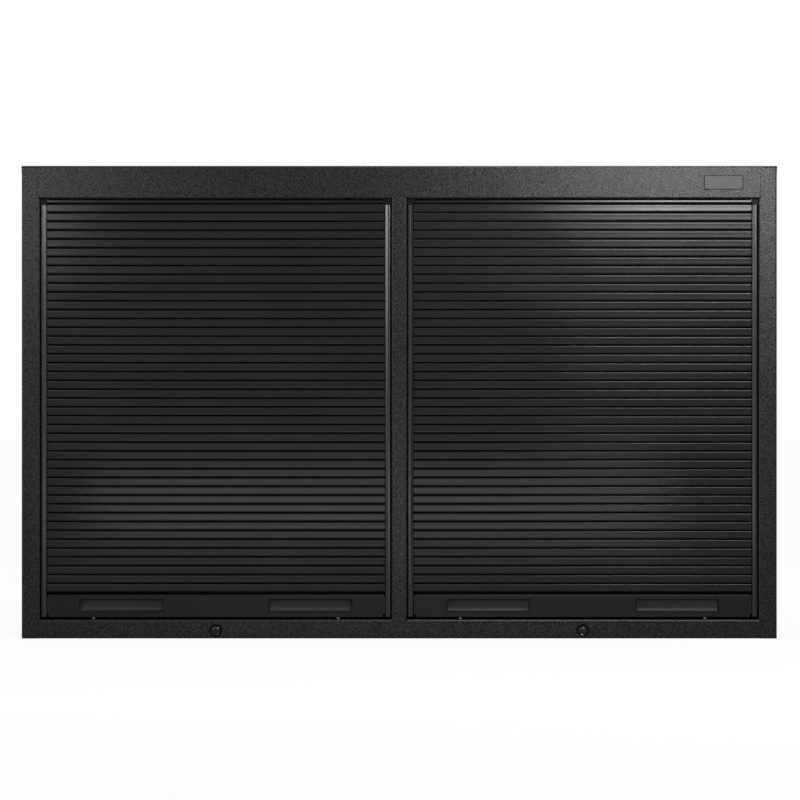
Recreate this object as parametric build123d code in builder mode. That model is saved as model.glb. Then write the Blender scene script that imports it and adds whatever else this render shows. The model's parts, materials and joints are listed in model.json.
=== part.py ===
from build123d import *
from math import cos, radians, sin
import os

# Wall cabinet with two tambour doors side by side. Each door is a curtain of narrow
# hooked slats that runs up two tracks and over a spring barrel behind the header.
# Millimetres. X runs along the front, Y from front to back, Z up.
# The origin is the middle of the base.

os.makedirs("parts", exist_ok=True)

# Case of folded sheet
cabinet_width = 1360.0
cabinet_height = 850.0
cabinet_depth = 350.0
sheet = 1.0
bend_radius = 2.0
post_face = 34.0
post_return = 26.0
mullion_face = 28.0
header_face = 59.0
header_return = 7.0
rail_face = 34.0
rail_return = 15.0
rear_flange = 20.0
side_lap = 14.0
seam = 0.4
corner_notch = 4.0
corner_radius = 4.5
cut_lead = 1.0

# Wall fixing: hat rails inside the back panel, with four bolt holes
bolt_inset = 130.0
bolt_low_z = 90.0
bolt_drop = 160.0
bolt_radius = 4.5
bolt_slot = 24.0
hat_gap = 59.5
hat_height = 44.0
hat_depth = 12.0
hat_flange = 12.0

# Slats
slat_pitch = 15.9
slats_turning = 3
turn_angle = 20.0
slat_gap = 1.6
slat_crown = 0.4
slat_wall = 1.2
hook_wall = 1.0
hook_reach = 1.4
hook_bite = 1.0
hook_play = 0.4
hook_drop = 0.4
slat_setback = 9.6

# Tracks and their bell-mouth guides
track_wall = 1.6
track_lip = 11.8
track_groove = 2.5
lip_setback = 4.5
lip_flat = 3.8
lip_slope = 2.3
groove_depth = 2.5
slat_play = 0.45
slat_end_play = 5.0
track_foot = 5.0
guide_height = 10.0
guide_flare = 2.0
fit = 0.15

# Bottom bar with its end guides, pulls, bumpers and lock stud
bar_height = 40.5
bar_setback = 5.5
bar_depth = 10.2
bar_wall = 1.6
bar_end_play = 1.2
bar_corner = 1.2
bumper_height = 3.8
bumper_size = 5.0
bumper_inset = 80.8
curtain_gap = 4.5
end_guide_plug = 14.0
end_guide_inset = 2.0
end_cap = 2.2
end_cap_lift = 5.5
end_cap_setback = 0.3
pull_length = 150.4
pull_height = 23.4
pull_rim = 1.2
pull_rim_thickness = 0.6
pull_corner = 1.5
pull_wall = 0.8
pull_scoop = 5.0
pull_inset = 55.6
pull_z = 58.7
stud_radius = 3.0
stud_neck = 7.0
stud_head_size = 10.0
stud_head = 1.5
stud_length = 6.6

# Locks in the bottom rail
lock_z = 14.8
lock_head_radius = 11.2
lock_head = 2.4
lock_body_radius = 9.2
lock_flat = 8.0
lock_body_length = 15.0
clip_plate = 1.6
clip_plate_size = 25.0
clip_plate_web = 2.3
plug_radius = 7.5
plug_tail = 7.0
plug_sink = 0.5
key_slot_width = 1.8
key_slot_height = 8.0
key_slot_depth = 9.0
cam_thickness = 2.5
cam_gap = 2.6
cam_reach = 36.0
cam_width = 18.0
cam_tip = 4.0
cam_corner = 5.0
cam_slot_play = 0.7
cam_swing_angle = 40.0

# Spring barrel behind the header, and its cover
coil_radius = 46.0
coil_play = 4.0
barrel_radius = 20.0
barrel_wall = 1.2
barrel_flats = 8
barrel_end_gap = 4.0
barrel_fit = 0.1
plug_depth = 12.0
shaft_radius = 6.0
shaft_fit = 0.06
shaft_tail = 4.0
bracket_sheet = 2.0
bracket_flange = 8.0
spring_radius = 12.0
spring_wire = 3.0
hanger_width = 30.0
hanger_thickness = 0.8
hanger_spacing = 320.0
hanger_count = 2
cover_gap = 0.8
cover_lip = 38.0
cover_flange = 14.0

# Shelves
shelf_lift = 18.0
shelf_fold = 24.0
shelf_play = 2.0
shelf_front_gap = 45.0
shelf_rear_gap = 4.0
strip_width = 20.0
strip_depth = 5.0
strip_foot = 60.0
strip_head = 30.0
strip_inset = 50.0
strip_sheet = 1.2
slot_width = 8.0
slot_height = 4.0
slot_rows = 3
clip_wall = 1.5
clip_width = 14.0
clip_ledge = 14.0
clip_height = 22.0
clip_tongue = 3.0

# Planes and levels of the case
half_sheet = sheet / 2
outer_bend = bend_radius + sheet
front = -cabinet_depth / 2
back = cabinet_depth / 2
face_mid = front + half_sheet
flange_mid = back - sheet - half_sheet
skin = cabinet_width / 2 - sheet
opening_edge = cabinet_width / 2 - post_face
opening_width = opening_edge - mullion_face / 2
opening_top = cabinet_height - header_face
door_offset = (opening_edge + mullion_face / 2) / 2
notch_edge = opening_edge + corner_notch
post_end = front + post_return
post_top = cabinet_height - outer_bend - seam
rear_clear = skin - rear_flange - seam
bolt_x = cabinet_width / 2 - bolt_inset
bolt_high_z = cabinet_height - bolt_drop
hat_length = skin - 2 * hat_gap

# Slat section, measured back from the crown and up from the foot of its pitch
face_low = slat_gap / 2
face_high = slat_pitch - slat_gap / 2
face_back = slat_crown + slat_wall
ledge_back = face_back + hook_reach
lip_front = ledge_back - hook_bite
stem_front = ledge_back + hook_play
slat_depth = stem_front + hook_wall
ledge_top = face_low + hook_wall
lip_low = ledge_top + hook_drop
lip_high = lip_low + hook_wall
hook_y = (lip_front + ledge_back) / 2
hook_z = (lip_low + lip_high) / 2
slat_length = opening_width - 2 * slat_end_play

# Door levels
bar_low = rail_face + bumper_height
bar_high = bar_low + bar_height
curtain_low = bar_high + curtain_gap
slats_shown = int((opening_top - curtain_low) // slat_pitch)
curtain_front = front + slat_setback
curtain_back = curtain_front + slat_depth
bar_front = front + bar_setback
bar_back = bar_front + bar_depth
bar_length = opening_width - 2 * (track_lip + bar_end_play + end_cap)
bar_middle_y = (bar_front + bar_back) / 2
pull_offset = bar_length / 2 - pull_inset - pull_length / 2
bumper_offset = bar_length / 2 - bumper_inset
cup_back = bar_back - bar_wall - 2 * fit
stud_z = lock_z + cam_reach

# Track section, measured in from the post and back from the front of the case
channel_front = slat_setback - slat_play
channel_back = slat_setback + slat_depth + slat_play
track_back = channel_back + track_wall
track_low = rail_face + track_foot
track_high = opening_top - sheet - guide_height

# Barrel and cover
cover_front = front + track_back + cover_gap
barrel_y = cover_front + sheet + coil_play + coil_radius
barrel_z = cabinet_height - sheet - coil_play - coil_radius
cover_low = barrel_z - coil_radius - coil_play - sheet
cover_back = barrel_y + coil_radius + coil_play + sheet
bracket_inner = opening_width / 2 - bracket_sheet
tube_length = 2 * (bracket_inner - barrel_end_gap)

# Locks
lock_front = front - lock_head
plug_front = lock_front + plug_sink
cam_front = front + lock_body_length + cam_gap

# Shelves
shelf_level = cover_low / 2 + shelf_lift
shelf_front = front + shelf_front_gap
shelf_rear = back - 2 * sheet - hat_depth - shelf_rear_gap
shelf_low = shelf_level - shelf_fold
shelf_outer = skin - sheet - strip_depth - clip_wall - shelf_play
shelf_inner = half_sheet + strip_depth + clip_wall + shelf_play
strip_high = cover_low - strip_head
slot_pitch = (strip_high - strip_foot) / (slot_rows + 1)
strip_rows = (shelf_front + strip_inset, shelf_rear - strip_inset)
shelf_under = shelf_level - sheet
clip_z = shelf_under - clip_height / 2


def save(piece, name):
    """Label a finished piece and write it to its own file."""
    piece.part.label = name
    export_step(piece.part, f"parts/{name}.step")


def folded(points, thickness, inside_radius):
    """Add a strip of sheet, folded along its middle line, to the sketch that is open."""
    with BuildLine() as middle:
        FilletPolyline(*points, radius=inside_radius + thickness / 2)
    trace(middle.line, line_width=thickness)


def creased(points, thickness):
    """Add a strip of sheet with sharp folds, run by run, to the sketch that is open."""
    grow = thickness / 2
    for (x_from, y_from), (x_to, y_to) in zip(points, points[1:]):
        patch(
            min(x_from, x_to) - grow,
            max(x_from, x_to) + grow,
            min(y_from, y_to) - grow,
            max(y_from, y_to) + grow,
        )


def patch(x_from, x_to, low, high, mode=Mode.ADD):
    """Add a rectangle between two corners to the sketch that is open."""
    with Locations(((x_from + x_to) / 2, (low + high) / 2)):
        Rectangle(abs(x_to - x_from), high - low, mode=mode)


def facing_front(y):
    """Upright plane at a depth y, seen from the front. Extruding by a minus goes back."""
    return Plane.XZ.offset(-y)


def across(x):
    """Plane of a section along X: its own x is the depth and its own y the height."""
    return Plane.YZ.offset(x)


def side_panel(side):
    """Side skin with the front post, its return and the rear flange in one sheet."""
    with BuildPart() as panel:
        with BuildSketch(Plane.XY):
            creased(
                [
                    (side * (skin - rear_flange + half_sheet), flange_mid),
                    (side * (skin - half_sheet), flange_mid),
                    (side * (skin - half_sheet), 0),
                ],
                sheet,
            )
            folded(
                [
                    (side * (skin - half_sheet), 0),
                    (side * (skin - half_sheet), face_mid),
                    (side * (opening_edge + half_sheet), face_mid),
                    (side * (opening_edge + half_sheet), post_end),
                ],
                sheet,
                bend_radius,
            )
        extrude(amount=post_top)
        # The return stops where the header and the rail pass the post
        with BuildSketch(facing_front(front - cut_lead)):
            patch(side * (opening_edge - cut_lead), side * notch_edge, opening_top, cabinet_height)
            patch(side * (opening_edge - cut_lead), side * notch_edge, -cut_lead, rail_face)
        extrude(amount=-(post_return + 2 * cut_lead), mode=Mode.SUBTRACT)
        # The post's inner top corner is round
        with BuildSketch(facing_front(front - cut_lead)):
            patch(
                side * notch_edge,
                side * (notch_edge + corner_radius),
                post_top - corner_radius,
                post_top,
            )
            with Locations((side * (notch_edge + corner_radius), post_top - corner_radius)):
                Circle(corner_radius, mode=Mode.SUBTRACT)
        extrude(amount=-(cut_lead + outer_bend), mode=Mode.SUBTRACT)
    return panel


def top_panel():
    """Top sheet with the header folded down in front, a rear flange and two side laps."""
    end_x = notch_edge - seam
    end_radius = corner_radius + seam
    end_top = cabinet_height - outer_bend
    with BuildPart() as panel:
        with BuildSketch(across(0)):
            creased(
                [
                    (flange_mid, cabinet_height - rear_flange),
                    (flange_mid, cabinet_height - half_sheet),
                    (0, cabinet_height - half_sheet),
                ],
                sheet,
            )
            folded(
                [
                    (0, cabinet_height - half_sheet),
                    (face_mid, cabinet_height - half_sheet),
                    (face_mid, opening_top + half_sheet),
                    (front + header_return, opening_top + half_sheet),
                ],
                sheet,
                bend_radius,
            )
        extrude(amount=cabinet_width / 2 - outer_bend, both=True)
        with BuildSketch(facing_front(front + outer_bend)):
            for side in (-1, 1):
                folded(
                    [
                        (side * (cabinet_width / 2 - half_sheet), cabinet_height - side_lap),
                        (side * (cabinet_width / 2 - half_sheet), cabinet_height - half_sheet),
                        (side * (cabinet_width / 2 - side_lap), cabinet_height - half_sheet),
                    ],
                    sheet,
                    bend_radius,
                )
        extrude(amount=-(cabinet_depth - 2 * outer_bend - sheet))
        # The header ends at the posts, and lets the mullion's face in from below
        with BuildSketch(facing_front(front - cut_lead)):
            for side in (-1, 1):
                corner = (side * (end_x + end_radius), end_top - end_radius)
                patch(side * end_x, side * cabinet_width / 2, opening_top - cut_lead, end_top)
                patch(
                    side * end_x,
                    side * (end_x + end_radius),
                    end_top - end_radius,
                    end_top,
                    mode=Mode.SUBTRACT,
                )
                with Locations(corner):
                    Circle(end_radius)
            patch(
                -mullion_face / 2,
                mullion_face / 2,
                opening_top - cut_lead,
                opening_top + outer_bend,
            )
        extrude(amount=-(header_return + 2 * cut_lead), mode=Mode.SUBTRACT)
        # The rear flange ends at the side panels' own rear flanges
        with BuildSketch(facing_front(back - sheet - outer_bend)):
            for side in (-1, 1):
                patch(
                    side * rear_clear,
                    side * (skin - sheet),
                    cabinet_height - rear_flange - cut_lead,
                    cabinet_height - sheet,
                )
        extrude(amount=-(outer_bend + sheet), mode=Mode.SUBTRACT)
    return panel


def bottom_panel():
    """Floor with the front rail, its top return and a rear flange in one sheet."""
    with BuildPart() as panel:
        with BuildSketch(across(0)):
            creased(
                [(flange_mid, rear_flange), (flange_mid, half_sheet), (0, half_sheet)],
                sheet,
            )
            folded(
                [
                    (0, half_sheet),
                    (face_mid, half_sheet),
                    (face_mid, rail_face - half_sheet),
                    (front + rail_return, rail_face - half_sheet),
                ],
                sheet,
                bend_radius,
            )
        extrude(amount=skin - sheet, both=True)
        # The rail ends at the posts, and the floor runs on behind them
        with BuildSketch(facing_front(front - cut_lead)):
            for side in (-1, 1):
                patch(side * (notch_edge - seam), side * skin, -cut_lead, rail_face + cut_lead)
        extrude(amount=-(cut_lead + outer_bend), mode=Mode.SUBTRACT)
        with BuildSketch(facing_front(front - cut_lead)):
            for side in (-1, 1):
                patch(side * (notch_edge - seam), side * skin, outer_bend, rail_face + cut_lead)
            patch(-mullion_face / 2, mullion_face / 2, rail_face - outer_bend, rail_face + cut_lead)
        extrude(amount=-(rail_return + 2 * cut_lead), mode=Mode.SUBTRACT)
        # Lock holes through the rail
        with BuildSketch(facing_front(front - cut_lead)):
            lock_outline(-door_offset, fit)
            lock_outline(door_offset, fit)
        extrude(amount=-(sheet + 2 * cut_lead), mode=Mode.SUBTRACT)
        # The rear corners clear the side panels' rear flanges
        with BuildSketch(facing_front(back - sheet - outer_bend)):
            for side in (-1, 1):
                patch(side * rear_clear, side * skin, -cut_lead, rear_flange + cut_lead)
        extrude(amount=-(outer_bend + sheet), mode=Mode.SUBTRACT)
    return panel


def back_panel():
    """Flat back, the rearmost plane of the case, with the wall bolt holes."""
    with BuildPart() as panel:
        with BuildSketch(facing_front(back)):
            patch(-skin, skin, 0, cabinet_height - outer_bend)
            with Locations((0, (bolt_low_z + bolt_high_z) / 2)):
                with GridLocations(2 * bolt_x, bolt_high_z - bolt_low_z, 2, 2):
                    Circle(bolt_radius, mode=Mode.SUBTRACT)
        extrude(amount=sheet)
    return panel


def wall_rail(level):
    """Hat rail in each bay that stiffens the back panel behind one row of bolt holes."""
    seat = back - sheet - half_sheet
    crest = seat - hat_depth
    half_hat = hat_height / 2
    with BuildPart() as rail:
        for side in (-1, 1):
            with BuildSketch(across(side * skin / 2)):
                creased(
                    [
                        (seat, level - half_hat - hat_flange),
                        (seat, level - half_hat),
                        (crest, level - half_hat),
                        (crest, level + half_hat),
                        (seat, level + half_hat),
                        (seat, level + half_hat + hat_flange),
                    ],
                    sheet,
                )
            extrude(amount=hat_length / 2, both=True)
        with BuildSketch(facing_front(crest - sheet)):
            with Locations((-bolt_x, level), (bolt_x, level)):
                Rectangle(bolt_slot, 2 * bolt_radius)
        extrude(amount=-2 * sheet, mode=Mode.SUBTRACT)
    return rail


def centre_post():
    """Mullion between the doors, let into the header and the rail."""
    leg = mullion_face / 2 - half_sheet
    with BuildPart() as post:
        with BuildSketch(Plane.XY.offset(rail_face - outer_bend)):
            folded(
                [(-leg, post_end), (-leg, face_mid), (leg, face_mid), (leg, post_end)],
                sheet,
                bend_radius,
            )
        extrude(amount=opening_top - rail_face + 2 * outer_bend)
    return post


def centre_divider():
    """Sheet between the bays, from the mullion to the back."""
    rear = back - 2 * sheet - half_sheet
    with BuildPart() as divider:
        with BuildSketch(Plane.XY.offset(sheet)):
            creased(
                [
                    (mullion_face / 2 - half_sheet, post_end + half_sheet),
                    (0, post_end + half_sheet),
                    (0, rear),
                    (rear_flange, rear),
                ],
                sheet,
            )
        extrude(amount=cabinet_height - 2 * sheet)
        # The front flange stops above the mullion
        with BuildSketch(facing_front(post_end - cut_lead)):
            patch(half_sheet, mullion_face, opening_top + outer_bend, cabinet_height)
        extrude(amount=-(sheet + 2 * cut_lead), mode=Mode.SUBTRACT)
        # The rear flange clears the bends of the floor and the top
        with BuildSketch(facing_front(back - sheet - outer_bend)):
            patch(-sheet, rear_flange + sheet, 0, outer_bend)
            patch(-sheet, rear_flange + sheet, cabinet_height - outer_bend, cabinet_height)
        extrude(amount=-outer_bend, mode=Mode.SUBTRACT)
    return divider


def track(post_x, inward):
    """Extruded channel that guides one edge of a curtain, fixed to a post's return."""
    section = [
        (0, lip_setback + groove_depth),
        (track_groove, lip_setback + groove_depth),
        (track_groove, lip_setback),
        (track_groove + lip_flat, lip_setback),
        (track_lip, lip_setback + lip_slope),
        (track_lip, channel_front),
        (track_wall, channel_front),
        (track_wall, channel_back),
        (track_lip, channel_back),
        (track_lip, track_back),
        (0, track_back),
    ]
    with BuildPart() as channel:
        with BuildSketch(Plane.XY.offset(track_low)):
            with BuildLine():
                Polyline(*[(post_x + inward * u, front + v) for u, v in section], close=True)
            make_face()
        extrude(amount=track_high - track_low)
    return channel


def track_guides(door_x):
    """Bell-mouth pieces above a door's two tracks, open to the back for the curtain."""
    section = [
        (0, lip_setback),
        (track_lip, lip_setback),
        (track_lip, channel_front),
        (track_wall, channel_front),
        (track_wall, track_back),
        (0, track_back),
    ]
    with BuildPart() as guides:
        for inward in (-1, 1):
            post_x = door_x - inward * opening_width / 2
            with BuildSketch(Plane.XY.offset(track_high)):
                with BuildLine():
                    Polyline(*[(post_x + inward * u, front + v) for u, v in section], close=True)
                make_face()
            extrude(amount=guide_height)
        mouths = guides.edges().filter_by(Axis.X).group_by(Axis.Z)[-1].sort_by(Axis.Y)[2:4]
        chamfer(mouths, length=guide_flare)
    return guides


def slat_face():
    """Section of one slat: crowned face, foot ledge, and the hook that hangs on the next ledge."""
    with BuildSketch() as section:
        with BuildLine():
            ThreePointArc(
                (slat_crown, face_low), (0, (face_low + face_high) / 2), (slat_crown, face_high)
            )
            Polyline(
                (slat_crown, face_high),
                (stem_front, face_high),
                (stem_front, slat_pitch + lip_low),
                (lip_front, slat_pitch + lip_low),
                (lip_front, slat_pitch + lip_high),
                (slat_depth, slat_pitch + lip_high),
                (slat_depth, face_high - hook_wall),
                (face_back, face_high - hook_wall),
                (face_back, ledge_top),
                (ledge_back, ledge_top),
                (ledge_back, face_low),
                (slat_crown, face_low),
            )
        make_face()
    return section.sketch


def turned(y, z, tilt):
    """A slat's own point (y, z) after the slat leans back by tilt degrees."""
    lean = radians(tilt)
    return y * cos(lean) + z * sin(lean), z * cos(lean) - y * sin(lean)


def slat_places():
    """Foot and lean of every slat: upright in the tracks, then turning back hook by hook."""
    places = [(curtain_front, curtain_low + row * slat_pitch, 0) for row in range(slats_shown)]
    pivot_y = curtain_front + hook_y
    pivot_z = curtain_low + slats_shown * slat_pitch + hook_z
    for step in range(slats_turning):
        tilt = turn_angle * (step + 1)
        from_foot = turned(hook_y, hook_z, tilt)
        places.append((pivot_y - from_foot[0], pivot_z - from_foot[1], tilt))
        along = turned(0, slat_pitch, tilt)
        pivot_y += along[0]
        pivot_z += along[1]
    return places


def curtain(door_x):
    """All the slats of one door, hooked into each other."""
    section = slat_face()
    with BuildPart() as slats:
        with BuildSketch(across(door_x - slat_length / 2)):
            for foot_y, foot_z, tilt in slat_places():
                with Locations(Location((foot_y, foot_z, 0), (0, 0, -tilt))):
                    add(section)
        extrude(amount=slat_length)
    return slats


def hangers(door_x):
    """Spring steel straps from the top slat's hook over the barrel."""
    foot_y, foot_z, tilt = slat_places()[-1]
    edges = []
    for layer in (barrel_fit, barrel_fit + hanger_thickness):
        edge = []
        for depth in (lip_front, slat_depth):
            y, z = turned(depth, slat_pitch + lip_high + layer, tilt)
            edge.append((foot_y + y, foot_z + z))
        # Over the barrel the strap lies on two of its flats
        half_flat = radians(180 / barrel_flats)
        reach = (barrel_radius + layer) / cos(half_flat)
        for corner in (half_flat, -half_flat, -3 * half_flat):
            edge.append((barrel_y - reach * sin(corner), barrel_z + reach * cos(corner)))
        edges.append(edge)
    with BuildPart() as straps:
        with BuildSketch(across(door_x)):
            with BuildLine():
                Polyline(*edges[0], *reversed(edges[1]), close=True)
            make_face()
        first = extrude(amount=hanger_width / 2, both=True, mode=Mode.PRIVATE)
        with GridLocations(hanger_spacing, 1, hanger_count, 1):
            add(first)
    return straps


def bottom_bar(door_x):
    """Hollow bar at the foot of a curtain, with a hook for the lowest slat."""
    cup_length = pull_length - 2 * pull_rim
    cup_height = pull_height - 2 * pull_rim
    with BuildPart() as bar:
        with BuildSketch(across(door_x - bar_length / 2)) as section:
            patch(bar_front, bar_back, bar_low, bar_high)
            fillet(section.vertices().group_by(Axis.X)[0], radius=bar_corner)
            patch(
                bar_front + bar_wall,
                bar_back - bar_wall,
                bar_low + bar_wall,
                bar_high - bar_wall,
                mode=Mode.SUBTRACT,
            )
            patch(
                curtain_front + stem_front,
                curtain_back,
                bar_high - bar_wall / 2,
                curtain_low + lip_high,
            )
            patch(
                curtain_front + lip_front,
                curtain_back,
                curtain_low + lip_low,
                curtain_low + lip_high,
            )
        extrude(amount=bar_length)
        # Windows for the two pulls, then the hole for the lock stud
        with BuildSketch(facing_front(bar_front - cut_lead)):
            with Locations((door_x - pull_offset, pull_z), (door_x + pull_offset, pull_z)):
                Rectangle(cup_length + 2 * fit, cup_height + 2 * fit)
        extrude(amount=-(cut_lead + bar_wall + fit), mode=Mode.SUBTRACT)
        with BuildSketch(facing_front(bar_back - bar_wall - fit)):
            with Locations((door_x, stud_z)):
                Rectangle(stud_neck + 2 * fit, stud_neck + 2 * fit)
        extrude(amount=-(bar_wall + 2 * fit), mode=Mode.SUBTRACT)
    return bar


def bar_end_guides(door_x):
    """Plugs in the bar's ends, with caps over them and tongues that run in the tracks."""
    tongue_low = bar_low + end_cap_lift
    tongue_high = bar_high - end_guide_inset
    with BuildPart() as guides:
        for end in (-1, 1):
            bar_end = door_x + end * bar_length / 2
            with BuildSketch(across(bar_end)):
                patch(
                    bar_front + bar_wall + fit,
                    bar_back - bar_wall - fit,
                    bar_low + bar_wall + fit,
                    bar_high - bar_wall - fit,
                )
            extrude(amount=-end * end_guide_plug)
            with BuildSketch(across(bar_end)):
                patch(
                    bar_front + end_cap_setback,
                    bar_back - end_cap_setback,
                    bar_low + end_cap_lift,
                    bar_high - end_cap_setback,
                )
            extrude(amount=end * end_cap)
            with BuildSketch(across(bar_end)):
                patch(curtain_front, curtain_back, tongue_low, tongue_high)
            extrude(amount=end * (slat_length - bar_length) / 2)
    return guides


def door_pulls(door_x):
    """Two moulded finger cups with a thin rim on the face of the bar and a scooped floor."""
    cup_length = pull_length - 2 * pull_rim
    cup_height = pull_height - 2 * pull_rim
    inside_length = cup_length - 2 * pull_wall
    inside_height = cup_height - 2 * pull_wall
    places = [(door_x - pull_offset, pull_z), (door_x + pull_offset, pull_z)]
    with BuildPart() as pulls:
        with BuildSketch(facing_front(bar_front - pull_rim_thickness)):
            with Locations(*places):
                Rectangle(pull_length, pull_height)
        extrude(amount=-pull_rim_thickness)
        chamfer(pulls.edges().filter_by(Axis.Y), length=pull_corner)
        with BuildSketch(facing_front(bar_front)):
            with Locations(*places):
                Rectangle(cup_length, cup_height)
        extrude(amount=-(cup_back - bar_front))
        for middle, level in places:
            with BuildSketch(across(middle)) as hollow:
                patch(
                    bar_front - pull_rim_thickness - cut_lead,
                    cup_back - pull_wall,
                    level - inside_height / 2,
                    level + inside_height / 2,
                )
                deepest = hollow.vertices().group_by(Axis.X)[-1]
                fillet(deepest.sort_by(Axis.Y)[0], radius=pull_scoop)
            extrude(amount=inside_length / 2, both=True, mode=Mode.SUBTRACT)
    return pulls


def bumpers(door_x):
    """Rubber pads under the bar that land on the rail."""
    with BuildPart() as pads:
        with BuildSketch(Plane.XY.offset(rail_face)):
            with Locations(
                (door_x - bumper_offset, bar_middle_y), (door_x + bumper_offset, bar_middle_y)
            ):
                Rectangle(bumper_size, bumper_size)
        extrude(amount=bumper_height)
    return pads


def lock_stud(door_x):
    """Square-necked pin through the rear wall of the bar, which the lock's cam hooks round."""
    with BuildPart() as stud:
        with BuildSketch(facing_front(bar_back - bar_wall)):
            with Locations((door_x, stud_z)):
                Rectangle(stud_head_size, stud_head_size)
        extrude(amount=stud_head)
        with BuildSketch(facing_front(bar_back - bar_wall)):
            with Locations((door_x, stud_z)):
                Rectangle(stud_neck, stud_neck)
        extrude(amount=-bar_wall)
        with BuildSketch(facing_front(bar_back)):
            with Locations((door_x, stud_z)):
                Circle(stud_radius)
        extrude(amount=-stud_length)
    return stud


def lock_outline(door_x, room):
    """Add a lock body's outline, round with two flats, to the sketch that is open."""
    reach = lock_body_radius + room
    with Locations((door_x, lock_z)):
        Circle(reach)
    for side in (-1, 1):
        patch(
            door_x + side * (lock_flat + room),
            door_x + side * reach,
            lock_z - reach,
            lock_z + reach,
            mode=Mode.SUBTRACT,
        )


def lock_bodies():
    """Two lock barrels, their heads in front of the rail, bored for the plugs."""
    places = ((-door_offset, lock_z), (door_offset, lock_z))
    with BuildPart() as bodies:
        with BuildSketch(facing_front(lock_front)):
            with Locations(*places):
                Circle(lock_head_radius)
        extrude(amount=-lock_head)
        with BuildSketch(facing_front(front)):
            lock_outline(-door_offset, 0)
            lock_outline(door_offset, 0)
        extrude(amount=-lock_body_length)
        with BuildSketch(facing_front(lock_front)):
            with Locations(*places):
                Circle(plug_radius + shaft_fit)
        extrude(amount=-(lock_head + lock_body_length), mode=Mode.SUBTRACT)
    return bodies


def lock_clips():
    """Fork plates over the flats of the lock bodies, against the back of the rail."""
    gap = lock_flat + fit
    fork = 2 * (lock_body_radius + fit)
    with BuildPart() as clips:
        with BuildSketch(facing_front(front + sheet)):
            for door_x in (-door_offset, door_offset):
                patch(
                    door_x - clip_plate_size / 2,
                    door_x + clip_plate_size / 2,
                    lock_z - fork / 2 - clip_plate_web,
                    lock_z + fork / 2,
                )
                patch(
                    door_x - gap,
                    door_x + gap,
                    lock_z - fork / 2,
                    lock_z + fork,
                    mode=Mode.SUBTRACT,
                )
        extrude(amount=-clip_plate)
    return clips


def lock_plug(door_x):
    """Turning plug with a key slot in front and a square tail for the cam."""
    with BuildPart() as plug:
        with BuildSketch(facing_front(plug_front)):
            with Locations((door_x, lock_z)):
                Circle(plug_radius)
        extrude(amount=-(cam_front - plug_front))
        with BuildSketch(facing_front(cam_front)):
            with Locations((door_x, lock_z)):
                Rectangle(plug_tail, plug_tail)
        extrude(amount=-cam_thickness)
        with BuildSketch(facing_front(plug_front)):
            with Locations((door_x, lock_z)):
                Rectangle(key_slot_width, key_slot_height)
        extrude(amount=-key_slot_depth, mode=Mode.SUBTRACT)
    return plug


def lock_cam(door_x):
    """Hook cam, shown open and lying along X, with a slot that swings round the stud."""
    tip_reach = cam_reach + stud_radius + cam_slot_play + cam_tip
    swing = CenterArc((0, 0), cam_reach, 0, cam_swing_angle)
    with BuildPart() as cam:
        with BuildSketch(
            Plane(origin=(door_x, cam_front, lock_z), x_dir=(1, 0, 0), z_dir=(0, -1, 0))
        ) as outline:
            patch(-cam_width / 2, tip_reach, -cam_width / 2, cam_width / 2)
            chamfer(outline.vertices(), length=cam_corner)
            SlotArc(swing, 2 * (stud_radius + cam_slot_play), mode=Mode.SUBTRACT)
            Rectangle(plug_tail + 2 * fit, plug_tail + 2 * fit, mode=Mode.SUBTRACT)
        extrude(amount=-cam_thickness)
    return cam


def roller_cover(door_x):
    """Trough under and behind the barrel that keeps the coil off the shelves."""
    with BuildPart() as cover:
        with BuildSketch(across(door_x)):
            creased(
                [
                    (cover_front + half_sheet, cover_low + cover_lip),
                    (cover_front + half_sheet, cover_low + half_sheet),
                    (cover_back - half_sheet, cover_low + half_sheet),
                    (cover_back - half_sheet, cabinet_height - sheet - half_sheet),
                    (cover_back + cover_flange, cabinet_height - sheet - half_sheet),
                ],
                sheet,
            )
        extrude(amount=bracket_inner, both=True)
    return cover


def barrel_brackets(door_x):
    """Plates at both ends of the barrel, flanged to the top panel, that hold its shaft."""
    plate = opening_width / 2 - bracket_sheet / 2
    ceiling = cabinet_height - sheet - bracket_sheet / 2
    with BuildPart() as brackets:
        with BuildSketch(facing_front(cover_front)):
            for end in (-1, 1):
                creased(
                    [
                        (door_x + end * plate, cover_low),
                        (door_x + end * plate, ceiling),
                        (door_x + end * (plate + bracket_flange), ceiling),
                    ],
                    bracket_sheet,
                )
        extrude(amount=-(cover_back - cover_front))
        with BuildSketch(across(door_x)):
            with Locations((barrel_y, barrel_z)):
                Rectangle(2 * (shaft_radius + shaft_fit), 2 * (shaft_radius + shaft_fit))
        extrude(amount=opening_width / 2 + bracket_flange, both=True, mode=Mode.SUBTRACT)
    return brackets


def barrel_shaft(door_x):
    """Fixed shaft through the barrel, from bracket to bracket."""
    with BuildPart() as shaft:
        with BuildSketch(across(door_x)):
            with Locations((barrel_y, barrel_z)):
                Circle(shaft_radius)
        extrude(amount=opening_width / 2 + shaft_tail, both=True)
    return shaft


def barrel_tube(door_x):
    """Eight-sided tube that the curtain winds on."""
    with BuildPart() as tube:
        with BuildSketch(across(door_x)):
            with Locations((barrel_y, barrel_z)):
                octagon(barrel_radius)
                octagon(barrel_radius - barrel_wall, mode=Mode.SUBTRACT)
        extrude(amount=tube_length / 2, both=True)
    return tube


def octagon(inner_radius, mode=Mode.ADD):
    """Add the barrel's outline, one flat on top, to the sketch that is open."""
    RegularPolygon(
        inner_radius, barrel_flats, major_radius=False, rotation=180 / barrel_flats, mode=mode
    )


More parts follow.
